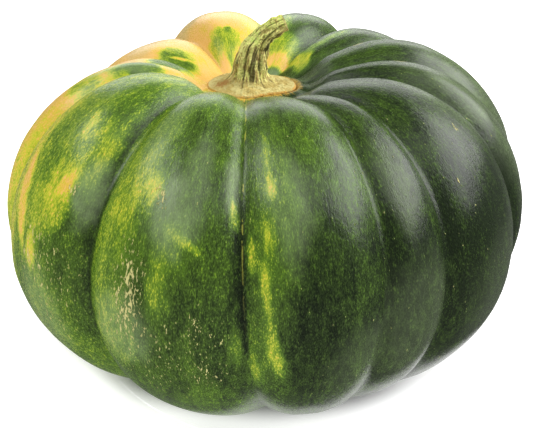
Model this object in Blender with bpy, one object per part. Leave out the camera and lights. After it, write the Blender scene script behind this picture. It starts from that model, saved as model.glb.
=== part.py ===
"""A ribbed green pumpkin with its stalk, resting on the underside of its ribs.

Lengths are in metres and +Z is up. The front of the fruit faces -Y. The origin is on the floor, under the
middle of the whole object.
"""
import math
from collections import namedtuple

import bmesh
import bpy
from mathutils import Vector

MM = 0.001

# The fruit without its ribs, as distances from the middle of its widest level
RADIUS = 150 * MM
CROWN = 109 * MM
BASE = 110 * MM
CROWN_SQUARENESS = 2.1
BASE_SQUARENESS = 2.0

# The dip that the stalk stands in, and the small level place at the bottom of it
DIP_DEPTH = 38 * MM
DIP_RADIUS = 58 * MM
LANDING_HEIGHT = 72 * MM
LANDING_RADIUS = 21 * MM
LANDING_EDGE = 45 * MM

# The dimple at the blossom end, and the height of the widest level above the floor
DIMPLE_DEPTH = 22 * MM
DIMPLE_RADIUS = 40 * MM
WAIST_HEIGHT = 97.5 * MM

# The fruit grew a little askew: how far its two ends lie to the right of its middle, and how fast that fades
# away from each end
STALK_SHIFT = -9.5 * MM
STALK_SHIFT_FADE = 6
BLOSSOM_SHIFT = 10 * MM
BLOSSOM_SHIFT_FADE = 2

# How fast the grooves die out towards the stalk and towards the blossom, and how full the ribs are
GROOVE_FADE_UP = 0.7
GROOVE_FADE_DOWN = 2.2
RIB_FULLNESS = 2.7
SHOULDER_ANGLE = 0.75
SHOULDER_SPREAD = 0.55
SHOULDER_FADE = 1.5

# The ribs in order, going round to the right, from the groove at 40 degrees left of the front. Width is in
# degrees. Crest is how far a rib stands out at the widest level, and shoulder how much more it does higher up.
# Groove is the depth of the groove on its left, and lean is how far that groove leans, in degrees.
FIRST_GROOVE = -40
Rib = namedtuple("Rib", "width crest shoulder groove lean")
RIBS = (
    Rib(36, 3 * MM, -2 * MM, 12 * MM, -1),
    Rib(29, 0 * MM, 2 * MM, 10 * MM, 5),
    Rib(16, -4 * MM, 0 * MM, 9 * MM, -2),
    Rib(34, 0 * MM, 2 * MM, 10 * MM, -3),
    Rib(19, 0 * MM, 4 * MM, 10 * MM, -2),
    Rib(27, 8 * MM, 0 * MM, 5 * MM, -2),
    Rib(29, 3 * MM, 1 * MM, 8 * MM, -1),
    Rib(30, 5 * MM, 4 * MM, 15 * MM, 0),
    Rib(36, 6 * MM, 5 * MM, 6 * MM, -2),
    Rib(33, -6 * MM, 0 * MM, 15 * MM, 0),
    Rib(19, -6 * MM, -4 * MM, 14 * MM, 0),
    Rib(17, 2 * MM, -1 * MM, 13 * MM, -3),
    Rib(35, 4 * MM, 3 * MM, 7 * MM, 0),
)

# The stalk: its middle line as a curve with four control points, from the rim of its foot up and over to the
# right, and its radius low down, past the bend and at the tip. Shares of the way along say where it narrows.
RIM_HEIGHT = 3 * MM
STALK_LINE = (
    Vector((0, 0, RIM_HEIGHT)),
    Vector((0, 0, 25 * MM)),
    Vector((5 * MM, 0, 33 * MM)),
    Vector((19.5 * MM, 0, 39.5 * MM)),
)
STALK_RADIUS = 8.8 * MM
NECK_RADIUS = 4.6 * MM
TIP_RADIUS = 3.7 * MM
NARROWS_FROM = 0.15
NARROWS_TO = 0.8
TIP_FROM = 0.85

# The stalk's foot is broader than it is deep. Under its rim it narrows to a sole that stands on the landing.
# Waves in its rim are given as their number round it, their height and their turn.
FOOT_WIDTH = 51 * MM
FOOT_DEPTH = 39 * MM
SOLE_SHARE = 0.72
FLARE_HEIGHT = 2.5 * MM
RIM_WAVES = ((3, 1.5 * MM, -0.5), (5, 0.8 * MM, 2))
STALK_RIDGES = 9
RIDGE_HEIGHT = 0.9 * MM
JOINT_GAP = 0.3 * MM

# Fineness of the two surfaces
DEGREES_PER_COLUMN = 4.2
FRUIT_ROWS = 40
POLE_CROWDING = 0.12
STALK_SIDES = 36
STALK_ROWS = 24
ROW_CROWDING = 1.6
CREASE_ANGLE = 25


def clear_scene():
    for thing in list(bpy.data.objects):
        bpy.data.objects.remove(thing, do_unlink=True)


def material(name, colour, roughness):
    made = bpy.data.materials.new(name)
    made.use_nodes = True
    shader = made.node_tree.nodes["Principled BSDF"]
    shader.inputs["Base Color"].default_value = (*colour, 1)
    shader.inputs["Roughness"].default_value = roughness
    shader.inputs["Metallic"].default_value = 0
    return made


def finished(name, mesh, finish):
    """The mesh as a named, smooth-shaded object at the origin."""
    data = bpy.data.meshes.new(name)
    mesh.to_mesh(data)
    mesh.free()
    data.materials.append(finish)
    data.shade_smooth()
    data.set_sharp_from_angle(angle=math.radians(CREASE_ANGLE))
    thing = bpy.data.objects.new(name, data)
    bpy.context.collection.objects.link(thing)
    return thing


def smooth_step(low, high, value):
    share = min(max((value - low) / (high - low), 0), 1)
    return share * share * (3 - 2 * share)


def plain_body(angle):
    """The body without ribs at an angle down from the top: a point and its outward direction, as (r, z)."""
    out, up = math.sin(angle), math.cos(angle)
    height, power = (CROWN, CROWN_SQUARENESS) if up > 0 else (BASE, BASE_SQUARENESS)
    reach = ((out / RADIUS) ** power + (abs(up) / height) ** power) ** (-1 / power)
    point = Vector((reach * out, reach * up))
    facing = Vector(
        (
            (point.x / RADIUS) ** (power - 1) / RADIUS,
            math.copysign((abs(point.y) / height) ** (power - 1) / height, up),
        )
    )
    return point, facing.normalized()


def rib_offset(number, across, angle):
    """How far the skin stands off the plain body, across a rib from -1 at its left groove to 1."""
    rib, neighbour = RIBS[number], RIBS[(number + 1) % len(RIBS)]
    out = math.sin(angle)
    right_share = (across + 1) / 2
    depth = rib.groove * (1 - right_share) + neighbour.groove * right_share
    groove = -depth * out ** (GROOVE_FADE_UP if math.cos(angle) > 0 else GROOVE_FADE_DOWN)
    shoulder = out**SHOULDER_FADE * math.exp(-(((angle - SHOULDER_ANGLE) / SHOULDER_SPREAD) ** 2))
    crest = rib.crest * out + rib.shoulder * shoulder
    return groove + (crest - groove) * (1 - abs(across) ** RIB_FULLNESS)


def rib_heading(number, across, angle):
    """The compass heading of a place on a rib, in radians to the right of the front."""
    left = FIRST_GROOVE + sum(rib.width for rib in RIBS[:number])
    right = left + RIBS[number].width
    sway = angle / (math.pi / 2) - 1
    left += RIBS[number].lean * sway
    right += RIBS[(number + 1) % len(RIBS)].lean * sway
    return math.radians((left + right) / 2 + (right - left) / 2 * across)


def skin_height(radius, height, upper):
    """The height above the floor, with the stalk's dip and landing, or the blossom's dimple and the flat."""
    if not upper:
        dimple = DIMPLE_DEPTH * math.exp(-((radius / DIMPLE_RADIUS) ** 2))
        return max(height + dimple + WAIST_HEIGHT, 0)
    height -= DIP_DEPTH * math.exp(-((radius / DIP_RADIUS) ** 2))
    clear = smooth_step(LANDING_RADIUS, LANDING_EDGE, radius)
    return LANDING_HEIGHT + (height - LANDING_HEIGHT) * clear + WAIST_HEIGHT


def skin_point(number, across, angle):
    """A place on the skin, from its rib, its place across the rib and its angle down from the top."""
    point, facing = plain_body(angle)
    radius = point.x
    offset = rib_offset(number, across, angle)
    point += facing * offset
    upper = math.cos(angle) > 0
    end, fade = (STALK_SHIFT, STALK_SHIFT_FADE) if upper else (BLOSSOM_SHIFT, BLOSSOM_SHIFT_FADE)
    shift = end * abs(math.cos(angle)) ** fade
    heading = rib_heading(number, across, angle)
    return Vector(
        (
            shift + point.x * math.sin(heading),
            -point.x * math.cos(heading),
            skin_height(radius, point.y, upper),
        )
    )


def columns():
    """The rib and the place across it for every column of the surface, going round once."""
    made = []
    for number, rib in enumerate(RIBS):
        steps = round(rib.width / DEGREES_PER_COLUMN)
        made += [(number, 2 * step / steps - 1) for step in range(steps)]
    return made


def fruit(finish):
    """A sphere whose every column follows a line along a rib."""
    places = columns()
    mesh = bmesh.new()
    bmesh.ops.create_uvsphere(mesh, u_segments=len(places), v_segments=FRUIT_ROWS, radius=1)
    for vertex in mesh.verts:
        row = math.acos(min(max(vertex.co.z, -1), 1)) / math.pi
        angle = math.pi * row - POLE_CROWDING * math.sin(math.tau * row)
        turn = math.atan2(vertex.co.y, vertex.co.x) / math.tau
        number, across = places[round(turn * len(places)) % len(places)]
        vertex.co = skin_point(number, across, min(max(angle, 0), math.pi))
    return finished("fruit", mesh, finish)


def along_stalk(share):
    """A point of the stalk's middle line and the line's direction there."""
    a, b, c, d = STALK_LINE
    rest = 1 - share
    point = a * rest**3 + b * 3 * rest**2 * share + c * 3 * rest * share**2 + d * share**3
    heading = (b - a) * rest**2 + (c - b) * 2 * rest * share + (d - c) * share**2
    return point, heading.normalized()


def foot_reach(turn):
    """How far the foot's rim is from its middle."""
    reach = 1 / math.hypot(2 * math.cos(turn) / FOOT_WIDTH, 2 * math.sin(turn) / FOOT_DEPTH)
    return reach + sum(height * math.cos(number * turn + start) for number, height, start in RIM_WAVES)


def stalk_point(turn, row):
    """A place on the stalk, from its turn round the middle line and its row, where row 0 is the sole."""
    if row == 0:
        return Vector((math.cos(turn), math.sin(turn), 0)) * SOLE_SHARE * foot_reach(turn)
    share = ((row - 1) / (STALK_ROWS - 1)) ** ROW_CROWDING
    middle, heading = along_stalk(share)
    side = Vector((0, 1, 0))
    front = side.cross(heading).normalized()
    radius = STALK_RADIUS + (NECK_RADIUS - STALK_RADIUS) * smooth_step(NARROWS_FROM, NARROWS_TO, share)
    radius += (TIP_RADIUS - NECK_RADIUS) * smooth_step(TIP_FROM, 1, share)
    flare = math.exp((RIM_HEIGHT - middle.z) / FLARE_HEIGHT)
    radius += (foot_reach(turn) - STALK_RADIUS) * flare
    radius += RIDGE_HEIGHT * math.cos(STALK_RIDGES * turn) * (1 - flare)
    return middle + (front * math.cos(turn) + side * math.sin(turn)) * radius


def stem(finish):
    """A tube that follows the stalk's middle line, flared at its foot and closed at both ends."""
    mesh = bmesh.new()
    bmesh.ops.create_cone(mesh, cap_ends=True, segments=STALK_SIDES, radius1=1, radius2=1, depth=1)
    uprights = [edge for edge in mesh.edges if abs(edge.verts[0].co.z - edge.verts[1].co.z) > 0.5]
    bmesh.ops.subdivide_edges(mesh, edges=uprights, cuts=STALK_ROWS - 1, use_grid_fill=True)
    foot = Vector((STALK_SHIFT, 0, WAIST_HEIGHT + LANDING_HEIGHT + JOINT_GAP))
    for vertex in mesh.verts:
        turn = math.atan2(vertex.co.y, vertex.co.x)
        row = round((vertex.co.z + 0.5) * STALK_ROWS)
        vertex.co = foot + stalk_point(turn, row)
    return finished("stem", mesh, finish)


def centre_over_origin(things):
    """Moves the meshes so that the middle of their common box is over the origin."""
    points = [vertex.co for thing in things for vertex in thing.data.vertices]
    middle_x = (min(point.x for point in points) + max(point.x for point in points)) / 2
    middle_y = (min(point.y for point in points) + max(point.y for point in points)) / 2
    for thing in things:
        for vertex in thing.data.vertices:
            vertex.co -= Vector((middle_x, middle_y, 0))


clear_scene()
skin = material("pumpkin skin", (0.06, 0.12, 0.025), 0.42)
woody_stalk = material("woody stalk", (0.24, 0.21, 0.08), 0.75)
centre_over_origin([fruit(skin), stem(woody_stalk)])
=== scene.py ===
"""A ribbed green pumpkin with orange patches and a bent woody stalk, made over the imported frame.

Lengths are in metres and +Z is up. The front of the fruit faces -Y.
"""
import math
from collections import namedtuple

import bmesh
import bpy
from mathutils import Matrix, Vector, noise


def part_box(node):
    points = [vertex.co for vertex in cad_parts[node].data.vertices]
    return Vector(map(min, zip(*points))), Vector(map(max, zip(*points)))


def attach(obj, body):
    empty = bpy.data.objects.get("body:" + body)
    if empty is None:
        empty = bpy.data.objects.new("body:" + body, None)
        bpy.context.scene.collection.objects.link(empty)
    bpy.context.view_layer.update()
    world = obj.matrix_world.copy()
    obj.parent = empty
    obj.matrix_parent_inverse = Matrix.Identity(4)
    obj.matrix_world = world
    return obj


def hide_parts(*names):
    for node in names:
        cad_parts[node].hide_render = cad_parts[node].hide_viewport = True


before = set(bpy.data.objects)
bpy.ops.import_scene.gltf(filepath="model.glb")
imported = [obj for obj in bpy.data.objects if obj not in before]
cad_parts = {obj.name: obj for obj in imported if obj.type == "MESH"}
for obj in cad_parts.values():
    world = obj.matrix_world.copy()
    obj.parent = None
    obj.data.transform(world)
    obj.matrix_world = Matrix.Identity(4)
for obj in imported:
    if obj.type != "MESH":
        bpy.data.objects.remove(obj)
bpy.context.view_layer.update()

MM = 0.001

# The fruit's own shape, as the solid model has it
RADIUS = 150 * MM
CROWN = 109 * MM
BASE = 110 * MM
CROWN_SQUARENESS = 2.1
BASE_SQUARENESS = 2.0
DIP_DEPTH = 38 * MM
DIP_RADIUS = 58 * MM
LANDING_HEIGHT = 72 * MM
LANDING_RADIUS = 21 * MM
LANDING_EDGE = 45 * MM
DIMPLE_DEPTH = 22 * MM
DIMPLE_RADIUS = 40 * MM
WAIST_HEIGHT = 97.5 * MM
STALK_SHIFT = -9.5 * MM
STALK_SHIFT_FADE = 6
BLOSSOM_SHIFT = 10 * MM
BLOSSOM_SHIFT_FADE = 2
GROOVE_FADE_UP = 0.7
GROOVE_FADE_DOWN = 2.2
RIB_FULLNESS = 2.7
SHOULDER_ANGLE = 0.75
SHOULDER_SPREAD = 0.55
SHOULDER_FADE = 1.5

# The ribs in order, going round to the right from the groove at 40 degrees left of the front: width in
# degrees, how far the crest stands out at the widest level and how much more it does at the shoulder, the
# depth of the groove on the rib's left, and how far that groove leans, in degrees
FIRST_GROOVE = -40
Rib = namedtuple("Rib", "width crest shoulder groove lean")
RIBS = (
    Rib(36, 3 * MM, -2 * MM, 12 * MM, -1),
    Rib(29, 0 * MM, 2 * MM, 10 * MM, 5),
    Rib(16, -4 * MM, 0 * MM, 9 * MM, -2),
    Rib(34, 0 * MM, 2 * MM, 10 * MM, -3),
    Rib(19, 0 * MM, 4 * MM, 10 * MM, -2),
    Rib(27, 8 * MM, 0 * MM, 5 * MM, -2),
    Rib(29, 3 * MM, 1 * MM, 8 * MM, -1),
    Rib(30, 5 * MM, 4 * MM, 15 * MM, 0),
    Rib(36, 6 * MM, 5 * MM, 6 * MM, -2),
    Rib(33, -6 * MM, 0 * MM, 15 * MM, 0),
    Rib(19, -6 * MM, -4 * MM, 14 * MM, 0),
    Rib(17, 2 * MM, -1 * MM, 13 * MM, -3),
    Rib(35, 4 * MM, 3 * MM, 7 * MM, 0),
)
FRONT_LEFT, FRONT_RIGHT, RIGHT_NARROW, RIGHT_BROAD, RIGHT_SLIM, RIGHT_BACK = 0, 1, 2, 3, 4, 5
BACK_RIGHT, BACK, BACK_LEFT, LEFT_BACK, LEFT_FAR, LEFT_SLIM, LEFT_BROAD = 6, 7, 8, 9, 10, 11, 12

# What only the fine skin has: the roundness of the grooves' bottoms, a shallow fold beside the front groove,
# soft lumps and ripples, a scar on the underside, and a welt that is placed by shares of the foot's reach
GROOVE_ROUNDNESS = 0.06
SHOULDER_ROUNDNESS = 0.12
FOLD_DEPTH = 1.8 * MM
FOLD_ACROSS = 0.5
FOLD_SPREAD = 0.2
FOLD_DOWN = math.radians(52)
FOLD_LENGTH = math.radians(20)
LUMP_HEIGHT = 0.9 * MM
LUMP_SIZE = 45 * MM
RIPPLE_HEIGHT = 0.25 * MM
RIPPLE_SIZE = 12 * MM
SCAR_HEIGHT = 2 * MM
SCAR_RADIUS = 6 * MM
SCAR_SPREAD = math.radians(5)
WELT_HEIGHT = 2.6 * MM
WELT_FROM = 0.9
WELT_AT = 1.02
WELT_SPREAD = 0.12

# The skin's mesh: its rows from top to bottom, and how far they crowd towards its two ends
FRUIT_ROWS = 200
POLE_CROWDING = 0.12

# The stalk's own shape, measured from the middle of its sole. Shares run from 0 at its foot to 1 at its tip.
RIM_HEIGHT = 3 * MM
RIM_EDGE = 1.2 * MM
RIM_WAVES = ((3, 1.5 * MM, -0.5), (5, 0.8 * MM, 2))
STALK_LINE = (
    Vector((0, 0, RIM_HEIGHT)),
    Vector((0, 0, 25 * MM)),
    Vector((5 * MM, 0, 33 * MM)),
    Vector((19.5 * MM, 0, 39.5 * MM)),
)
STALK_RADIUS = 8.8 * MM
NECK_RADIUS = 4.6 * MM
TIP_RADIUS = 3.7 * MM
NARROWS_FROM = 0.15
NARROWS_TO = 0.8
TIP_FROM = 0.85
FOOT_WIDTH = 51 * MM
FOOT_DEPTH = 39 * MM
SOLE_SHARE = 0.72
FLARE_HEIGHT = 2.5 * MM
STALK_RIDGES = 9
RIDGE_HEIGHT = 2 * MM
RIDGE_LEVEL = 0.6
RIDGE_FADE = 0.5 + 0.5 * NECK_RADIUS / STALK_RADIUS
RIDGE_TWIST = 0.5
RIDGE_WAVES = ((2, 0.9, 0), (3, 0.6, 1))
BARK_HEIGHT = 1.3 * MM
BARK_SIZE = 3.4 * MM
BARK_LENGTH = 20 * MM
BARK_OCTAVES = 3
PIT_PLACE = Vector((-15 * MM, -4 * MM))
PIT_RADIUS = 4 * MM
PIT_DEPTH = 1.6 * MM

# The stalk's mesh: its sides, its rows up to the rim, over the rim's edge and in all, how far they crowd
# towards the foot, and the grain's length for a row
STALK_SIDES = 180
UNDER_ROWS = 8
EDGE_ROWS = 6
STALK_ROWS = 170
ROW_CROWDING = 1.7
ROW_LENGTH = 0.3 * MM


def smooth_step(low, high, value):
    """0 up to a low value, 1 from a high one on, and smooth in between."""
    share = min(max((value - low) / (high - low), 0), 1)
    return share * share * (3 - 2 * share)


def bell(value, spread):
    """1 at a value of nought, and less the further the value is from it."""
    return math.exp(-((value / spread) ** 2))


def plain_body(angle):
    """The body without ribs at an angle down from the top: a point and its outward direction, as (r, z)."""
    out, up = math.sin(angle), math.cos(angle)
    height, power = (CROWN, CROWN_SQUARENESS) if up > 0 else (BASE, BASE_SQUARENESS)
    reach = ((out / RADIUS) ** power + (abs(up) / height) ** power) ** (-1 / power)
    point = Vector((reach * out, reach * up))
    outward = (point.x / RADIUS) ** (power - 1) / RADIUS
    upward = math.copysign((abs(point.y) / height) ** (power - 1) / height, up)
    return point, Vector((outward, upward)).normalized()


def rib_offset(number, across, angle):
    """How far the skin stands off the plain body, across a rib from -1 at its left groove to 1."""
    rib, neighbour = RIBS[number], RIBS[(number + 1) % len(RIBS)]
    out = math.sin(angle)
    right_share = (across + 1) / 2
    depth = rib.groove * (1 - right_share) + neighbour.groove * right_share
    groove = -depth * out ** (GROOVE_FADE_UP if math.cos(angle) > 0 else GROOVE_FADE_DOWN)
    at_shoulder = bell(angle - SHOULDER_ANGLE, SHOULDER_SPREAD)
    crest = rib.crest * out + rib.shoulder * out**SHOULDER_FADE * at_shoulder
    roundness = GROOVE_ROUNDNESS + (SHOULDER_ROUNDNESS - GROOVE_ROUNDNESS) * at_shoulder
    rise = math.hypot(1 - abs(across) ** RIB_FULLNESS, roundness) / math.hypot(1, roundness)
    offset = groove + (crest - groove) * rise
    if number == FRONT_LEFT:
        offset -= FOLD_DEPTH * bell(across - FOLD_ACROSS, FOLD_SPREAD) * bell(angle - FOLD_DOWN, FOLD_LENGTH)
    return offset


def rib_heading(number, across, angle):
    """The compass heading of a place on a rib, in radians to the right of the front."""
    left = FIRST_GROOVE + sum(rib.width for rib in RIBS[:number])
    right = left + RIBS[number].width
    sway = angle / (math.pi / 2) - 1
    left += RIBS[number].lean * sway
    right += RIBS[(number + 1) % len(RIBS)].lean * sway
    return math.radians((left + right) / 2 + (right - left) / 2 * across)


def half_width(number, angle):
    """Half of a rib's width at an angle down from the top, measured along the plain body."""
    return math.radians(RIBS[number].width / 2) * RADIUS * math.sin(angle)


def skin_height(radius, height, upper):
    """The height above the floor, with the stalk's dip and landing, or the blossom's dimple and the flat."""
    if not upper:
        height += DIMPLE_DEPTH * bell(radius, DIMPLE_RADIUS) - SCAR_HEIGHT * bell(radius, SCAR_RADIUS)
        return max(height + WAIST_HEIGHT, 0)
    height -= DIP_DEPTH * bell(radius, DIP_RADIUS)
    clear = smooth_step(LANDING_RADIUS, LANDING_EDGE, radius)
    return LANDING_HEIGHT + (height - LANDING_HEIGHT) * clear + WAIST_HEIGHT


def skin_point(number, across, angle):
    """A place on the skin, from its rib, its place across the rib and its angle down from the top."""
    point, facing = plain_body(angle)
    radius = point.x
    heading = rib_heading(number, across, angle)
    plain = Vector((radius * math.sin(heading), -radius * math.cos(heading), point.y))
    lumps = LUMP_HEIGHT * noise.noise(plain / LUMP_SIZE) + RIPPLE_HEIGHT * noise.noise(plain / RIPPLE_SIZE)
    point += facing * (rib_offset(number, across, angle) + lumps * math.sin(angle))
    upper = math.cos(angle) > 0
    end, fade = (STALK_SHIFT, STALK_SHIFT_FADE) if upper else (BLOSSOM_SHIFT, BLOSSOM_SHIFT_FADE)
    shift = end * abs(math.cos(angle)) ** fade
    level = skin_height(radius, point.y, upper)
    if upper:
        beside = radius / foot_reach(heading - math.pi / 2)
        outer = bell(max(beside - WELT_AT, 0), WELT_SPREAD)
        level += WELT_HEIGHT * outer * smooth_step(WELT_FROM, WELT_AT, beside)
    return Vector((shift + point.x * math.sin(heading), -point.x * math.cos(heading), level))


# The skin's markings by rib, in the order in which they are laid. Across is -1 at the rib's left groove and 1
# at its right, down is in degrees from the top, the sizes are half the marking's width and length in
# millimetres, turn leans its length to the right, and level is what the layer comes to there.
Mark = namedtuple("Mark", "across down width length turn level")

# Ripeness 0 is the darkest green and 1 is orange. Each rib starts from its own level, in the ribs' order.
RIPENESS = (0.42, 0.3, 0.17, 0.14, 0.16, 0.2, 0.22, 0.28, 1.02, 1.02, 0.96, 1, 0.56)
RIPENESS_AND_SHADE_MARKS = {
    LEFT_BROAD: (
        Mark(-0.5, 75, 18, 60, 0, 0.72),
        Mark(0.55, 46, 22, 26, 0, 0.42),
        Mark(0.6, 60, 15, 17, 0, 0.67),
        Mark(0.35, 68, 16, 30, -15, 0.54),
        Mark(0.1, 64, 16, 34, 0, 0.56),
        Mark(0.15, 67, 5, 14, 15, 0.48),
        Mark(0.75, 90, 26, 36, 0, 0.34),
        Mark(0.3, 97, 22, 30, 0, 0.5),
        Mark(0.82, 76, 11, 12, 0, 0.3),
        Mark(0.42, 73, 10, 25, -21, 0.62),
        Mark(0.5, 69.5, 6, 12, -21, 0.72),
        Mark(0.56, 68, 3.8, 7.5, -21, 0.94),
        Mark(-0.12, 75, 5, 26, 25, 0.94),
        Mark(0.25, 84, 4, 9, 0, 0.88),
        Mark(0.35, 55.5, 2.4, 8, 14, 0.78),
        # Painted shade on the flank beside the groove to FRONT_LEFT
        Mark(1, 62, 5, 70, 0, 0.2),
    ),
    FRONT_LEFT: (
        Mark(-0.6, 67, 24, 46, 0, 0.53),
        Mark(-0.45, 65, 9, 24, -14, 0.6),
        Mark(0.35, 54, 16, 30, 0, 0.26),
        Mark(0.1, 74, 17, 14, 0, 0.4),
        Mark(0.68, 68, 12, 30, 0, 0.24),
        Mark(0.78, 84, 13, 36, 0, 0.22),
        # This mark and the next darken the lower front: painted shade
        Mark(0.2, 98, 46, 22, 0, 0.3),
        Mark(0.8, 92, 14, 26, 0, 0.2),
        Mark(-0.5, 92, 18, 22, 0, 0.54),
        # Painted shade beside the groove to LEFT_BROAD
        Mark(-1, 80, 4, 44, 0, 0.16),
        Mark(-0.12, 63.5, 5.5, 6.5, 20, 0.73),
        Mark(0.3, 72, 2.6, 12, 62, 0.56),
        Mark(0.42, 73, 2, 8, 66, 0.61),
        Mark(0.12, 82, 6, 13, 0, 0.54),
        Mark(0.9, 94, 4, 12, 0, 0.46),
        Mark(1, 77, 3, 36, 0, 0),
        Mark(0.915, 65.5, 1.5, 9, 0, 0.84),
    ),
    FRONT_RIGHT: (
        Mark(-0.55, 72, 12, 70, 0, 0.42),
        # Darker low on this rib: painted shade
        Mark(0.2, 92, 30, 50, 0, 0.1),
        Mark(-0.85, 96, 5, 24, 0, 0.44),
        Mark(-1, 80, 2, 36, 0, 0.02),
        Mark(-0.6, 54, 2, 16, 3, 0.62),
        Mark(-0.56, 60.5, 2.8, 5, 0, 0.74),
        Mark(-0.63, 70, 1.6, 8, 0, 0.66),
        Mark(-0.86, 74, 1.5, 10, 4, 0.62),
        Mark(-0.68, 81, 2.8, 13, 0, 0.69),
        Mark(-0.6, 94, 4.4, 15, 12, 0.66),
        Mark(-0.92, 100, 3, 12, 0, 0.52),
    ),
    LEFT_SLIM: (
        Mark(0.3, 36, 9, 18, 0, 0.4),
        Mark(0.3, 51, 8, 12, 0, 0.66),
    ),
    LEFT_FAR: (
        Mark(-0.1, 28, 14, 15, 0, 0.44),
        Mark(0.3, 80, 8, 20, 0, 0.46),
    ),
    LEFT_BACK: (
        Mark(0.66, 28, 14, 18, 0, 0.64),
        Mark(0.8, 29, 8, 14, 0, 0.46),
        Mark(0.6, 26, 1.5, 13, 20, 0.9),
        Mark(-0.2, 72, 9, 16, 0, 0.6),
    ),
    BACK_LEFT: (
        Mark(0.45, 25, 20, 14, 0, 0.8),
        Mark(0.35, 26, 13, 9, 0, 0.66),
        Mark(0.2, 22, 3, 4, 0, 0.6),
        Mark(0.1, 29, 4, 3, 0, 0.5),
        Mark(0.3, 19, 3, 8, 0, 0.6),
        Mark(-0.8, 56, 8, 22, 0, 0.6),
        Mark(-0.6, 76, 10, 20, 10, 0.42),
    ),
    BACK: (
        Mark(0.1, 22, 26, 15, 0, 0.62),
        Mark(-0.1, 18.5, 22, 5, 0, 0.94),
        Mark(0.3, 34, 9, 14, 0, 0.56),
        Mark(0.9, 62, 7, 26, 0, 0.66),
        Mark(0.6, 84, 9, 18, 0, 0.52),
        Mark(-0.5, 14, 9, 5, 0, 0.3),
    ),
    BACK_RIGHT: (
        Mark(0.3, 20, 12, 7, 0, 0.78),
        Mark(0.1, 30, 4, 20, 0, 0.5),
    ),
}
# Flecks show most low on the left and beside the groove at the front
FLECKS = (0.7, 0.6, 0.6, 0.6, 0.5, 0.5, 0.5, 0.6, 0.6, 0.5, 0.5, 0.5, 0.8)
FLECK_MARKS = {
    LEFT_BROAD: (Mark(0.6, 92, 40, 44, 0, 1),),
    FRONT_LEFT: (
        Mark(0.2, 90, 60, 36, 0, 0.9),
        Mark(0.75, 78, 14, 24, 0, 1),
        Mark(1, 77, 2, 40, 0, 0.3),
    ),
    FRONT_RIGHT: (Mark(-0.7, 78, 12, 70, 0, 0.9),),
}
# Where the skin has corky scars
CORK_MARKS = {
    LEFT_BROAD: (
        Mark(0.65, 69, 4, 5, 20, 0.6),
        Mark(0.4, 90, 24, 34, 0, 0.34),
        Mark(0.25, 82, 4, 9, 0, 0.5),
    ),
    FRONT_LEFT: (
        Mark(0.1, 96, 50, 24, 0, 0.24),
        Mark(-0.25, 84, 12, 26, 0, 0.42),
        Mark(-0.2, 83, 4, 15, 6, 0.7),
        Mark(-0.26, 90, 6, 7, -20, 0.58),
        Mark(-0.02, 65, 4.5, 7, 25, 0.66),
        Mark(0.55, 100, 7, 6, 0, 0.46),
        Mark(0.5, 88, 4, 5, 0, 0.42),
    ),
    RIGHT_BROAD: (
        Mark(0, 57, 1.4, 4, -20, 0.9),
        Mark(-0.57, 67, 2, 2, 0, 0.9),
    ),
    RIGHT_SLIM: (Mark(0.4, 39, 1.6, 5, 0, 0.9),),
    RIGHT_BACK: (Mark(0.37, 31, 1.6, 4, 0, 0.9),),
}
# Where the skin is grey: partly the wax bloom that it has, partly painted sheen on the ribs at the right and
# painted reflection of the floor low down on the right
BLOOM_AND_SHEEN_MARKS = {
    LEFT_BROAD: (
        Mark(0.83, 68, 8, 16, 0, 0.55),
        Mark(0.3, 97, 16, 24, 0, 0.35),
    ),
    FRONT_LEFT: (
        Mark(0.2, 67, 14, 18, -10, 0.56),
        Mark(0.4, 58, 8, 20, 0, 0.25),
        Mark(-0.4, 52, 10, 22, -10, 0.25),
        Mark(0.87, 60, 4, 14, 0, 0.5),
        Mark(-0.35, 92, 18, 16, 0, 0.38),
    ),
    FRONT_RIGHT: (
        Mark(-0.3, 64, 10, 26, 0, 0.3),
        Mark(0.9, 100, 30, 26, 0, 0.12),
    ),
    RIGHT_NARROW: (
        Mark(0.1, 94, 30, 34, 0, 0.14),
        Mark(-0.2, 62, 8, 26, 0, 0.2),
    ),
    RIGHT_BROAD: (
        Mark(0.2, 94, 40, 30, 0, 0.08),
        Mark(0.6, 50, 16, 30, 0, 0.22),
    ),
    RIGHT_SLIM: (Mark(0.2, 62, 24, 54, 0, 0.26),),
    RIGHT_BACK: (Mark(-0.3, 72, 30, 54, 0, 0.26),),
    BACK: (Mark(-0.5, 14, 9, 5, 0, 0.5),),
    BACK_LEFT: (Mark(0.6, 50, 34, 12, 0, 0.45),),
    LEFT_BACK: (Mark(0.3, 44, 30, 10, 0, 0.3),),
    LEFT_SLIM: (Mark(0.1, 40, 9, 24, 0, 0.4),),
}

# How marks are laid: the skin's length for a degree down, the part of a mark's size that is full and the one
# at which it has ended, and the noise that makes its edge uneven
ARC_PER_DEGREE = 2.1 * MM
MARK_CORE = 0.5
MARK_END = 1.3
WARP_SHARE = 0.45
WARP_LIMIT = 4 * MM
WARP_SIZE = 7 * MM
WARP_GAP = Vector((31.7, 18.3, 5.9))

# How ripeness changes over the whole fruit: it is shared over the grooves, less below the shoulder, which is
# painted shade on the lower part, and drawn to one level on the underside, where it rises by a small gain at
# most
SHARING = 3
PAINTED_SHADE_FROM = math.radians(50)
PAINTED_SHADE_TO = math.radians(80)
PAINTED_SHADE_BY = 0.16
UNDERSIDE_FROM = math.radians(78)
UNDERSIDE_TO = math.radians(112)
UNDERSIDE_RIPENESS = 0.46
UNDERSIDE_GAIN = 0.1
UNDERSIDE_SHARE = 0.7

# What the looks read: the grain's scale down the skin, and the levels of places far from the stalk's foot and
# from the seam, which is the line in the front groove
GRAIN_DOWN = 0.8
FAR_FROM_FOOT = 9
FAR_FROM_SEAM = 0.1


def shared(levels, number, across):
    """A level of a rib's own in its middle that turns into its neighbour's over the groove between them."""
    neighbour = levels[(number + (1 if across > 0 else -1)) % len(levels)]
    return levels[number] + (neighbour - levels[number]) / 2 * abs(across) ** SHARING


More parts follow.
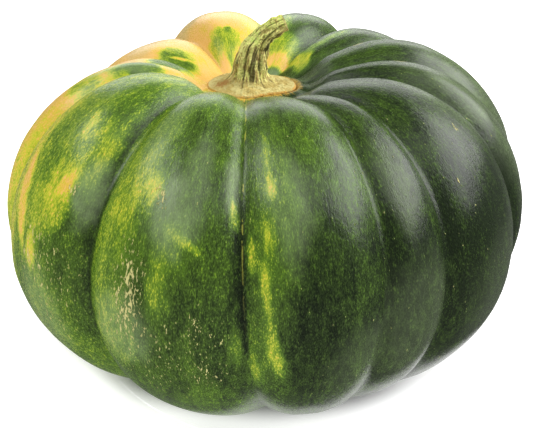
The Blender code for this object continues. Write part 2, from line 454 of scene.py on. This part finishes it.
def marked(marks, level, number, across, angle):
    """A layer's level at a place on the skin, after every mark on that rib has drawn it towards its own."""
    half_rib = half_width(number, angle)
    down = math.degrees(angle)
    place = Vector((across * half_rib, down * ARC_PER_DEGREE, number)) / WARP_SIZE
    sway = Vector((noise.noise(place), noise.noise(place + WARP_GAP)))
    for mark in marks.get(number, ()):
        width, length = mark.width * MM, mark.length * MM
        warp = min(WARP_SHARE * width, WARP_LIMIT)
        right = (across - mark.across) * half_rib + warp * sway.x
        below = (down - mark.down) * ARC_PER_DEGREE + warp * sway.y
        turn = math.radians(mark.turn)
        sideways = (right * math.cos(turn) - below * math.sin(turn)) / width
        lengthways = (right * math.sin(turn) + below * math.cos(turn)) / length
        outside = smooth_step(MARK_CORE, MARK_END, math.hypot(sideways, lengthways))
        level += (mark.level - level) * (1 - outside)
    return level


def seam_distance(number, across, angle):
    """How far a place on the two ribs beside the front groove is to the right of it, negative on its left."""
    if number == FRONT_LEFT:
        return (across - 1) * half_width(number, angle)
    if number == FRONT_RIGHT:
        return (across + 1) * half_width(number, angle)
    return FAR_FROM_SEAM


def skin_layers(number, across, angle, point):
    """What the skin is painted by at a place on it."""
    shaded_ripeness = shared(RIPENESS, number, across)
    # Painted shade: darker below the shoulder
    shaded_ripeness -= PAINTED_SHADE_BY * smooth_step(PAINTED_SHADE_FROM, PAINTED_SHADE_TO, angle)
    underside = UNDERSIDE_SHARE * smooth_step(UNDERSIDE_FROM, UNDERSIDE_TO, angle)
    shaded_ripeness += underside * min(UNDERSIDE_RIPENESS - shaded_ripeness, UNDERSIDE_GAIN)
    flecks = shared(FLECKS, number, across)
    scar = bell(math.pi - angle, SCAR_SPREAD)
    beside = point.xy - Vector((STALK_SHIFT, 0))
    from_foot = beside.length / foot_reach(math.atan2(beside.y, beside.x))
    return {
        "ripeness_and_shade": marked(RIPENESS_AND_SHADE_MARKS, shaded_ripeness, number, across, angle),
        "flecked": marked(FLECK_MARKS, flecks, number, across, angle),
        "bloom_and_sheen": marked(BLOOM_AND_SHEEN_MARKS, 0, number, across, angle),
        "cork": max(marked(CORK_MARKS, 0, number, across, angle), scar),
        "collar": from_foot if angle < math.pi / 2 else FAR_FROM_FOOT,
        "seam": seam_distance(number, across, angle),
    }


def columns():
    """The rib and the place across it for every column of the surface, going round once."""
    made = []
    for number, rib in enumerate(RIBS):
        made += [(number, 2 * step / rib.width - 1) for step in range(rib.width)]
    return made


def stand_in_box(mesh, low, high):
    """Moves and sizes a mesh to stand in a box, from its lowest corner to its highest."""
    for axis in range(3):
        least = min(vertex.co[axis] for vertex in mesh.verts)
        most = max(vertex.co[axis] for vertex in mesh.verts)
        size = (high[axis] - low[axis]) / (most - least)
        for vertex in mesh.verts:
            vertex.co[axis] = low[axis] + (vertex.co[axis] - least) * size


def linked(name, mesh, look):
    """The mesh as an object in the scene."""
    data = bpy.data.meshes.new(name)
    mesh.to_mesh(data)
    mesh.free()
    data.materials.append(look.material)
    piece = bpy.data.objects.new(name, data)
    bpy.context.collection.objects.link(piece)
    return piece


def dressed(name, mesh, look, node):
    """Makes the mesh a smooth-shaded piece of the object that stands for a node of the frame, in its box."""
    stand_in_box(mesh, *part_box(node))
    piece = linked(name, mesh, look)
    piece.data.shade_smooth()
    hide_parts(node)
    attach(piece, "root")


def fill_layers(mesh, vertex, levels):
    """Writes what a vertex is painted by to the mesh's layers of the same names."""
    for name, level in levels.items():
        vertex[mesh.verts.layers.float[name]] = level


def fruit():
    """A sphere whose every column follows a line along a rib, with the layers that its skin is painted by."""
    places = columns()
    mesh = bmesh.new()
    bmesh.ops.create_uvsphere(mesh, u_segments=len(places), v_segments=FRUIT_ROWS, radius=1)
    for name in ("ripeness_and_shade", "flecked", "bloom_and_sheen", "cork", "collar", "seam"):
        mesh.verts.layers.float.new(name)
    grain = mesh.verts.layers.float_vector.new("grain")
    for vertex in mesh.verts:
        row = math.acos(min(max(vertex.co.z, -1), 1)) / math.pi
        angle = math.pi * row - POLE_CROWDING * math.sin(math.tau * row)
        angle = min(max(angle, 0), math.pi)
        turn = math.atan2(vertex.co.y, vertex.co.x) / math.tau
        number, across = places[round(turn * len(places)) % len(places)]
        vertex.co = skin_point(number, across, angle)
        heading = rib_heading(number, across, angle)
        round_body = Vector((math.sin(heading), -math.cos(heading), angle * GRAIN_DOWN))
        vertex[grain] = round_body * RADIUS
        fill_layers(mesh, vertex, skin_layers(number, across, angle, vertex.co))
    dressed("ribbed_fruit", mesh, rind_look(), "fruit")


def along_stalk(share):
    """A point of the stalk's middle line and the line's direction there."""
    a, b, c, d = STALK_LINE
    rest = 1 - share
    point = a * rest**3 + b * 3 * rest**2 * share + c * 3 * rest * share**2 + d * share**3
    heading = (b - a) * rest**2 + (c - b) * 2 * rest * share + (d - c) * share**2
    return point, heading.normalized()


def ridge(turn, share):
    """0 in the stalk's grooves and 1 on its ridges, which twist a little and are unequal."""
    phase = STALK_RIDGES * (turn + RIDGE_TWIST * share)
    for number, height, start in RIDGE_WAVES:
        phase += height * math.sin(number * turn + start)
    return math.sqrt(abs(math.cos(phase / 2)))


def foot_reach(turn):
    """How far the foot's rim is from its middle."""
    reach = 1 / math.hypot(2 * math.cos(turn) / FOOT_WIDTH, 2 * math.sin(turn) / FOOT_DEPTH)
    return reach + sum(height * math.cos(number * turn + start) for number, height, start in RIM_WAVES)


def rim_point(turn, row):
    """A place on the side of the foot, from its sole up and over the edge of its rim."""
    spoke = Vector((math.cos(turn), math.sin(turn), 0))
    reach = foot_reach(turn)
    if row <= UNDER_ROWS:
        share = row / UNDER_ROWS
        level = Vector((0, 0, (RIM_HEIGHT - RIM_EDGE) * share))
        return spoke * reach * (SOLE_SHARE + (1 - SOLE_SHARE) * share) + level
    bend = (row - UNDER_ROWS) / EDGE_ROWS * math.pi / 2
    level = Vector((0, 0, RIM_HEIGHT - RIM_EDGE * (1 - math.sin(bend))))
    return spoke * (reach - RIM_EDGE * (1 - math.cos(bend))) + level


def stalk_point(turn, share):
    """A place on the stalk, from its turn round the middle line, and how far up a ridge it is from 0 to 1."""
    spoke = Vector((math.cos(turn), math.sin(turn), 0))
    middle, heading = along_stalk(share)
    side = Vector((0, 1, 0))
    front = side.cross(heading).normalized()
    radius = STALK_RADIUS + (NECK_RADIUS - STALK_RADIUS) * smooth_step(NARROWS_FROM, NARROWS_TO, share)
    radius += (TIP_RADIUS - NECK_RADIUS) * smooth_step(TIP_FROM, 1, share)
    flare = math.exp((RIM_HEIGHT - middle.z) / FLARE_HEIGHT)
    radius += (foot_reach(turn) - RIM_EDGE - STALK_RADIUS) * flare
    ridged = ridge(turn, share)
    knots = spoke * STALK_RADIUS + Vector((0, 0, share * BARK_LENGTH))
    bark = BARK_HEIGHT * noise.turbulence(knots / BARK_SIZE, BARK_OCTAVES, False)
    radius += (RIDGE_HEIGHT * (ridged - RIDGE_LEVEL) * RIDGE_FADE + bark) * (1 - flare)
    point = middle + (front * math.cos(turn) + side * math.sin(turn)) * radius
    pit = bell((point.xy - PIT_PLACE).length, PIT_RADIUS)
    lumps = BARK_HEIGHT * noise.noise(spoke * radius / BARK_SIZE) * flare * (1 - flare) * 4
    point.z += lumps - PIT_DEPTH * pit * flare
    return point, 1 - (1 - ridged) * (1 - flare)


# What the stalk's looks are laid by. Turns go round its middle line, and shares and lengths go along it: moss
# on its upper part and its left, painted shade in a groove at the front and under the bend, brown round the
# pit that is partly painted shade of its hollow, and the rust on the foot's rim.
MOSSY_FROM = 0.25
MOSSY_TO = 0.6
MOSSY_LEVEL = 0.6
MOSSY_LEAN = 0.4
GROOVE_TURN = math.radians(-85)
GROOVE_SPREAD = 0.3
GROOVE_ENDS_FROM = 0.4
GROOVE_ENDS_TO = 0.6
BEND_TURN = math.radians(-25)
BEND_SPREAD = 0.8
BEND_SHARE = 0.6
BEND_LENGTH = 0.22
SHADED_FROM = 0.12
PIT_SHADE_RADIUS = 1.3 * PIT_RADIUS
PIT_SHADE_ENDS_FROM = 0.05
PIT_SHADE_ENDS_TO = 0.1
RUSTY_FROM = 0.9
RUSTY_TO = 1.02


def stalk_layers(turn, row, share, ridged, point):
    """What the stalk is painted by at a place on it."""
    groove = bell(math.remainder(turn - GROOVE_TURN, math.tau), GROOVE_SPREAD)
    groove *= 1 - smooth_step(GROOVE_ENDS_FROM, GROOVE_ENDS_TO, share)
    bend = bell(math.remainder(turn - BEND_TURN, math.tau), BEND_SPREAD)
    bend *= bell(share - BEND_SHARE, BEND_LENGTH)
    pit_shade = bell((point.xy - PIT_PLACE).length, PIT_SHADE_RADIUS)
    leant = MOSSY_LEVEL - MOSSY_LEAN * math.cos(turn)
    return {
        "ridged": ridged,
        "along": share,
        "mossy": smooth_step(MOSSY_FROM, MOSSY_TO, share) * leant,
        "shaded": max(groove, bend) * smooth_step(0, SHADED_FROM, share),
        "pit": pit_shade * (1 - smooth_step(PIT_SHADE_ENDS_FROM, PIT_SHADE_ENDS_TO, share)),
        "rusty": 1 - smooth_step(RUSTY_FROM, RUSTY_TO, row / (UNDER_ROWS + EDGE_ROWS)),
    }


def stem():
    """A tube that follows the stalk's middle line, flared at its foot and closed at both ends."""
    mesh = bmesh.new()
    bmesh.ops.create_cone(mesh, cap_ends=True, segments=STALK_SIDES, radius1=1, radius2=1, depth=1)
    uprights = [edge for edge in mesh.edges if abs(edge.verts[0].co.z - edge.verts[1].co.z) > 0.5]
    bmesh.ops.subdivide_edges(mesh, edges=uprights, cuts=STALK_ROWS - 1, use_grid_fill=True)
    for name in ("ridged", "along", "mossy", "shaded", "rusty", "pit"):
        mesh.verts.layers.float.new(name)
    grain = mesh.verts.layers.float_vector.new("grain")
    rim_rows = UNDER_ROWS + EDGE_ROWS
    for vertex in mesh.verts:
        turn = math.atan2(vertex.co.y, vertex.co.x)
        row = round((vertex.co.z + 0.5) * STALK_ROWS)
        if row <= rim_rows:
            share, ridged = 0, 1
            vertex.co = rim_point(turn, row)
        else:
            share = ((row - rim_rows) / (STALK_ROWS - rim_rows)) ** ROW_CROWDING
            vertex.co, ridged = stalk_point(turn, share)
        spoke = Vector((math.cos(turn), math.sin(turn), 0))
        vertex[grain] = spoke * STALK_RADIUS + Vector((0, 0, row * ROW_LENGTH))
        fill_layers(mesh, vertex, stalk_layers(turn, row, share, ridged, vertex.co))
    dressed("woody_stalk", mesh, stalk_look(), "stem")


class Value:
    """A shader socket that Python's operators turn into Math nodes."""

    def __init__(self, look, socket):
        self.look = look
        self.socket = socket

    def calculated(self, operation, first, second=0.0):
        return self.look.node("ShaderNodeMath", {"operation": operation}, {0: first, 1: second})

    def __add__(self, other):
        return self.calculated("ADD", self, other)

    def __radd__(self, other):
        return self.calculated("ADD", other, self)

    def __sub__(self, other):
        return self.calculated("SUBTRACT", self, other)

    def __rsub__(self, other):
        return self.calculated("SUBTRACT", other, self)

    def __mul__(self, other):
        return self.calculated("MULTIPLY", self, other)

    def __abs__(self):
        return self.calculated("ABSOLUTE", self)


# The Mix node's sockets for colours, which share their names with those for other kinds of data
MIX_MASK, MIX_UNDER, MIX_OVER, MIXED = 0, 6, 7, 2

# A colour laid over others where a value goes from its first to its full, which is less than its first where
# the colour lies on low values, and the share that it covers there
Coat = namedtuple("Coat", "colour first full cover")


class Look:
    """A material, with methods that add nodes to it."""

    def __init__(self, name, settings):
        self.material = bpy.data.materials.new(name)
        self.material.use_nodes = True
        self.tree = self.material.node_tree
        self.shader = self.tree.nodes["Principled BSDF"]
        for socket, value in settings.items():
            self.shader.inputs[socket].default_value = value

    def node(self, kind, settings, sockets, output=0):
        """Adds a node with its settings, then the values or links of its sockets, and gives one output."""
        made = self.tree.nodes.new(kind)
        for name, value in settings.items():
            setattr(made, name, value)
        for name, value in sockets.items():
            self.feed(made.inputs[name], value)
        return Value(self, made.outputs[output])

    def feed(self, socket, value):
        if isinstance(value, Value):
            self.tree.links.new(value.socket, socket)
        else:
            socket.default_value = value

    def layer(self, name, output="Fac"):
        """A layer of the mesh, as a number or as the output that is named."""
        return self.node("ShaderNodeAttribute", {"attribute_name": name}, {}, output)

    def place(self):
        """The place on the object, in its own axes."""
        return self.node("ShaderNodeTexCoord", {}, {}, "Object")

    def noise(self, vector, size, length, detail):
        """A noise pattern, by its size across the grain and its length along it."""
        scale = (1 / size, 1 / size, 1 / length)
        stretched = self.node("ShaderNodeVectorMath", {"operation": "MULTIPLY"}, {0: vector, 1: scale})
        return self.node("ShaderNodeTexNoise", {}, {"Vector": stretched, "Scale": 1.0, "Detail": detail})

    def varied(self, value, *patterns):
        """A value made uneven by noise patterns, each with its weight."""
        for pattern, weight in patterns:
            value = value + (pattern - 0.5) * weight
        return value

    def ramp(self, value, stops):
        """A colour from a row of stops, each a place from 0 to 1 and its colour."""
        made = self.node("ShaderNodeValToRGB", {}, {0: value})
        row = made.socket.node.color_ramp.elements
        while len(row) < len(stops):
            row.new(1)
        for element, (place, colour) in zip(row, stops):
            element.position = place
            element.color = (*colour, 1)
        return made

    def above(self, value, low, high):
        """0 under low, 1 over high and smooth in between."""
        sockets = {0: value, 1: low, 2: high}
        return self.node("ShaderNodeMapRange", {"interpolation_type": "SMOOTHSTEP"}, sockets)

    def below(self, value, low, high):
        return 1 - self.above(value, low, high)

    def mix(self, mask, under, over):
        """One colour over another, through a mask."""
        sockets = {MIX_MASK: mask, MIX_UNDER: colour_of(under), MIX_OVER: colour_of(over)}
        return self.node("ShaderNodeMix", {"data_type": "RGBA"}, sockets, MIXED)

    def coat(self, under, value, coat):
        """A coat over other colours, by a value."""
        if coat.first < coat.full:
            mask = self.above(value, coat.first, coat.full)
        else:
            mask = self.below(value, coat.full, coat.first)
        return self.mix(mask * coat.cover, under, coat.colour)

    def bump(self, height, distance):
        return self.node("ShaderNodeBump", {}, {"Strength": 1.0, "Distance": distance, "Height": height})

    def wear(self, **sockets):
        """Feeds the shader's own sockets."""
        for name, value in sockets.items():
            self.feed(self.shader.inputs[name.replace("_", " ")], value)


def colour_of(colour):
    """A shader value as it is, or a colour of three numbers with full alpha."""
    return colour if isinstance(colour, Value) else (*colour, 1)


# The skin's colours by ripeness, which is lowered for painted shade low down
SKIN_COLOURS = (
    (0.0, (0.007, 0.013, 0.004)),
    (0.16, (0.020, 0.038, 0.007)),
    (0.3, (0.044, 0.084, 0.010)),
    (0.42, (0.066, 0.134, 0.012)),
    (0.55, (0.125, 0.220, 0.015)),
    (0.68, (0.290, 0.370, 0.022)),
    (0.8, (0.500, 0.510, 0.036)),
    (0.89, (0.630, 0.430, 0.045)),
    (1.0, (0.710, 0.435, 0.120)),
)
# The grey of the wax bloom, which also stands for painted sheen and reflection, the line in the groove at the
# front, the scars and the ring round the stalk
BLOOM_AND_SHEEN_GREY = (0.290, 0.370, 0.200)
SEAM_YELLOW = (0.420, 0.400, 0.060)
CORK = (0.580, 0.520, 0.210)
COLLAR_YELLOW = Coat((0.640, 0.400, 0.060), 1.12, 1.03, 0.8)
COLLAR_BROWN = Coat((0.620, 0.260, 0.030), 1.03, 0.98, 0.65)

# The skin's noise patterns: the size across the grain, the length along it and the detail
STREAK = (5 * MM, 40 * MM, 3)
BLOTCH = (3.5 * MM, 6 * MM, 3)
DASH = (1.3 * MM, 2.8 * MM, 2)
FINE = (0.6 * MM, 1.1 * MM, 2)
CLOUD = (14 * MM, 20 * MM, 3)

# The values between which each mask changes, how much the masks do, and the skin's roughness and relief
FLECK_EDGE = (0.54, 0.63)
FLECK_GAIN = 0.16
BLOOM_AND_SHEEN_LEAST = 0.4
SEAM_PLACE = 0.6 * MM
SEAM_EDGE = (0.1 * MM, 0.6 * MM)
SEAM_BREAKS = (0.5, 0.62)
SEAM_HEIGHTS = (90 * MM, 165 * MM)
SEAM_COVER = 0.7
CORK_EDGE = (0.62, 0.8)
CORK_COVER = 0.85
SKIN_ROUGHNESS = 0.28
SKIN_RELIEF = 0.36 * MM


def rind_look():
    """The waxy skin: flecked, from dark green to orange by how ripe it is and darker for painted shade low
    down, with corky scars and a ring.
    """
    look = Look("waxy rind", {"IOR": 1.5, "Specular IOR Level": 0.25})
    grain = look.layer("grain", "Vector")
    streak = look.noise(grain, *STREAK)
    blotch = look.noise(grain, *BLOTCH)
    dash = look.noise(grain, *DASH)
    fine = look.noise(grain, *FINE)
    cloud = look.noise(grain, *CLOUD)
    flecks = look.above(fine * 0.7 + dash * 0.3, *FLECK_EDGE) * look.layer("flecked")
    uneven = ((streak, 0.2), (dash, 0.32), (fine, 0.42), (cloud, 0.3), (blotch, 0.32))
    ripeness_and_shade = look.varied(look.layer("ripeness_and_shade"), *uneven) + flecks * FLECK_GAIN
    skin = look.ramp(ripeness_and_shade, SKIN_COLOURS)
    # Grey of the wax bloom, with painted sheen and painted reflection
    skin = look.mix(look.layer("bloom_and_sheen") * (BLOOM_AND_SHEEN_LEAST + blotch * (1 - BLOOM_AND_SHEEN_LEAST)), skin, BLOOM_AND_SHEEN_GREY)
    line = look.below(abs(look.layer("seam") - SEAM_PLACE), *SEAM_EDGE)
    line = line * look.above(look.varied(dash, (blotch, 2)), *SEAM_BREAKS)
    height = look.node("ShaderNodeSeparateXYZ", {}, {0: look.place()}, "Z")
    skin = look.mix(line * look.above(height, *SEAM_HEIGHTS) * SEAM_COVER, skin, SEAM_YELLOW)
    cork = look.above(look.varied(look.layer("cork"), (dash, 2.2), (fine, 1.4)), *CORK_EDGE)
    skin = look.mix(cork * CORK_COVER, skin, CORK)
    collar = look.varied(look.layer("collar"), (dash, 0.2), (blotch, 0.25))
    skin = look.coat(skin, collar, COLLAR_YELLOW)
    skin = look.coat(skin, collar, COLLAR_BROWN)
    relief = fine * 0.3 + dash * 0.4 + cork * 1.2
    roughness = look.varied(SKIN_ROUGHNESS, (fine, 0.3)) + cork * 0.3
    look.wear(Base_Color=skin, Roughness=roughness, Normal=look.bump(relief, SKIN_RELIEF))
    return look


# The stalk's colours
STRAW = (0.420, 0.320, 0.095)
OLIVE = (0.740, 0.710, 0.230)
BARK = (0.300, 0.210, 0.070)
# SHADE is painted shade, laid in the stalk's grooves and under its bend
SHADE = (0.035, 0.040, 0.012)
# Brown round the pit, partly its own colour and partly painted shade of the hollow
PIT_BROWN_AND_SHADE = (0.300, 0.135, 0.020)
PALE_STRAW = Coat((0.530, 0.460, 0.180), 0.4, 0.6, 1)
RUST = Coat((0.480, 0.240, 0.035), 0.75, 1.1, 0.8)
MOSS = Coat((0.640, 0.760, 0.180), 0.42, 0.58, 1)
LOW_STRAW = Coat(STRAW, 0.42, 0.58, 1)
FIBRE_BARK = Coat(BARK, 0.52, 0.62, 0.8)
MOSSY_BARK = Coat(BARK, 0.53, 0.62, 0.85)
DEEP_SHADE = Coat(SHADE, 0.4, 0.9, 0.75)
GROOVE_SHADE = Coat(SHADE, 0.7, 0.15, 0.75)
CUT_TIP = Coat(BARK, 0.985, 1, 0.5)

# The stalk's noise patterns, the values between which its masks change, and its roughness and relief
FIBRE = (1.1 * MM, 8 * MM, 3)
PATCH = (6 * MM, 6 * MM, 3)
CRUMB = (1.4 * MM, 1.4 * MM, 3)
PIT_SHADE_EDGE = (0.4, 0.7)
PIT_SHADE_LEAST = 0.3
MOSSY_EDGE = (0.4, 0.6)
FOOT_EDGE = (0.03, 0.1)
BARK_ROUGHNESS = 0.65
BARK_RELIEF = 0.9 * MM


def stalk_look():
    """Dry ridged wood: straw at the foot and low on the left, olive and mossy above, with painted shade in
    the grooves.
    """
    look = Look("dry stalk", {"IOR": 1.45, "Specular IOR Level": 0.25})
    place = look.place()
    fibre = look.noise(look.layer("grain", "Vector"), *FIBRE)
    patch = look.noise(place, *PATCH)
    crumb = look.noise(place, *CRUMB)
    along = look.layer("along")
    foot = look.coat(STRAW, look.varied(patch, (crumb, 0.8)), PALE_STRAW)
    foot = look.coat(foot, look.varied(look.layer("rusty"), (patch, 2.4), (crumb, 0.8)), RUST)
    # Brown round the pit, partly painted shade of its hollow
    pit = look.above(look.varied(look.layer("pit"), (crumb, 1.8)), *PIT_SHADE_EDGE)
    foot = look.mix(pit * (PIT_SHADE_LEAST + patch), foot, PIT_BROWN_AND_SHADE)
    bark = look.coat(OLIVE, look.varied(patch, (fibre, 1.2)), LOW_STRAW)
    bark = look.coat(bark, look.varied(fibre, (crumb, 0.6)), FIBRE_BARK)
    top = look.coat(OLIVE, crumb, MOSS)
    top = look.coat(top, look.varied(crumb, (patch, 1)), MOSSY_BARK)
    mossy = look.above(look.varied(look.layer("mossy"), (patch, 1.2)), *MOSSY_EDGE)
    bark = look.mix(mossy, bark, top)
    wood = look.mix(look.above(look.varied(along, (crumb, 0.08)), *FOOT_EDGE), foot, bark)
    # Painted shade: in the groove at the front and under the bend, then in the grooves between the ridges
    wood = look.coat(wood, look.varied(look.layer("shaded"), (fibre, 1.6), (crumb, 1)), DEEP_SHADE)
    wood = look.coat(wood, look.varied(look.layer("ridged"), (crumb, 1.2), (patch, 1.2)), GROOVE_SHADE)
    wood = look.coat(wood, along, CUT_TIP)
    relief = look.bump(fibre * 0.9 + crumb * 1.3, BARK_RELIEF)
    look.wear(Base_Color=wood, Roughness=BARK_ROUGHNESS + crumb * 0.25, Normal=relief)
    return look


# The stage: a small sheet on a wide floor, both of one paper that glows, with a soft shadow under the fruit
# painted into its glow
SHEET_RADIUS = 130 * MM
SHEET_SIDES = 96
SHEET_PLACE = (22 * MM, 22 * MM, -0.1 * MM)
FLOOR_SIZE = 6
FLOOR_PLACE = (0, 0, -0.2 * MM)
PAPER = {
    "Base Color": (0.85, 0.85, 0.85, 1),
    "Roughness": 0.9,
    "Specular IOR Level": 0.1,
    "Emission Strength": 0.83,
}
GLOW = (1, 1, 1)
PAINTED_SHADOW_GLOW = (0.1, 0.1, 0.1)
PAINTED_SHADOW_MIDDLE = (0, 80 * MM, 0)
PAINTED_SHADOW_EDGE = (148 * MM, 172 * MM)
PAINTED_SHADOW_END = (40 * MM, 150 * MM)

# The lamps: compass heading to the right of the front, angle above the floor, width, height and power
Lamp = namedtuple("Lamp", "name heading elevation width height power")
LAMPS = (
    Lamp("right lamp", 95, 38, 1.7, 0.9, 34),
    Lamp("left lamp", -80, 50, 1.2, 0.5, 13),
    Lamp("front lamp", 30, 60, 1.0, 0.6, 4),
    Lamp("back lamp", 180, 20, 1.4, 0.6, 7),
)
LAMP_AIM = Vector((0, 0, 100 * MM))
LAMP_DISTANCE = 1.4
SURROUND_STRENGTH = 0.2

# The camera of the photograph
CAMERA_HEIGHT_ANGLE = math.radians(26.5)
CAMERA_DISTANCE = 0.650
CAMERA_AIM = Vector((-0.4 * MM, -1.8 * MM, 90 * MM))
CAMERA_LENS = 72.74
CAMERA_ROLL = math.radians(0.6)


def paper_look():
    """White paper that glows, with a soft shadow painted under the fruit that ends towards the back."""
    look = Look("white paper", PAPER)
    place = look.place()
    away = look.node("ShaderNodeVectorMath", {"operation": "DISTANCE"}, {0: place, 1: PAINTED_SHADOW_MIDDLE}, "Value")
    depth = look.node("ShaderNodeSeparateXYZ", {}, {0: place}, "Y")
    painted_shadow = look.below(away, *PAINTED_SHADOW_EDGE) * look.below(depth, *PAINTED_SHADOW_END)
    look.wear(Emission_Color=look.mix(painted_shadow, GLOW, PAINTED_SHADOW_GLOW))
    return look


def floor():
    """A white sheet under the fruit on a white floor that the skin doesn't mirror."""
    look = paper_look()
    mesh = bmesh.new()
    place = Matrix.Translation(SHEET_PLACE)
    bmesh.ops.create_circle(mesh, cap_ends=True, segments=SHEET_SIDES, radius=SHEET_RADIUS, matrix=place)
    linked("sheet", mesh, look)
    mesh = bmesh.new()
    place = Matrix.Translation(FLOOR_PLACE)
    bmesh.ops.create_grid(mesh, x_segments=1, y_segments=1, size=FLOOR_SIZE, matrix=place)
    unmirrored = linked("floor", mesh, look)
    unmirrored.visible_glossy = False


def softbox(spec):
    """A lamp with an even face that is turned to the fruit."""
    lamp = bpy.data.lights.new(spec.name, "AREA")
    lamp.shape = "RECTANGLE"
    lamp.size = spec.width
    lamp.size_y = spec.height
    lamp.energy = spec.power
    holder = bpy.data.objects.new(spec.name, lamp)
    bpy.context.collection.objects.link(holder)
    turn, rise = math.radians(spec.heading), math.radians(spec.elevation)
    away = Vector((math.sin(turn) * math.cos(rise), -math.cos(turn) * math.cos(rise), math.sin(rise)))
    holder.location = LAMP_AIM + away * LAMP_DISTANCE
    holder.rotation_euler = (-away).to_track_quat("-Z", "Y").to_euler()


def studio():
    """A dim white surround and the lamps."""
    world = bpy.data.worlds.new("studio")
    world.use_nodes = True
    surround = world.node_tree.nodes["Background"]
    surround.inputs["Color"].default_value = (1, 1, 1, 1)
    surround.inputs["Strength"].default_value = SURROUND_STRENGTH
    bpy.context.scene.world = world
    for spec in LAMPS:
        softbox(spec)
    bpy.context.scene.view_settings.view_transform = "Standard"


def camera():
    """The camera, turned to its aim and rolled a little."""
    lens = bpy.data.cameras.new("camera")
    lens.lens = CAMERA_LENS
    holder = bpy.data.objects.new("camera", lens)
    bpy.context.collection.objects.link(holder)
    back = Vector((0, -math.cos(CAMERA_HEIGHT_ANGLE), math.sin(CAMERA_HEIGHT_ANGLE)))
    holder.location = CAMERA_AIM + back * CAMERA_DISTANCE
    turned = Matrix.Rotation(math.pi / 2 - CAMERA_HEIGHT_ANGLE, 3, "X") @ Matrix.Rotation(CAMERA_ROLL, 3, "Z")
    holder.rotation_euler = turned.to_euler()
    bpy.context.scene.camera = holder


camera()
studio()
floor()
fruit()
stem()
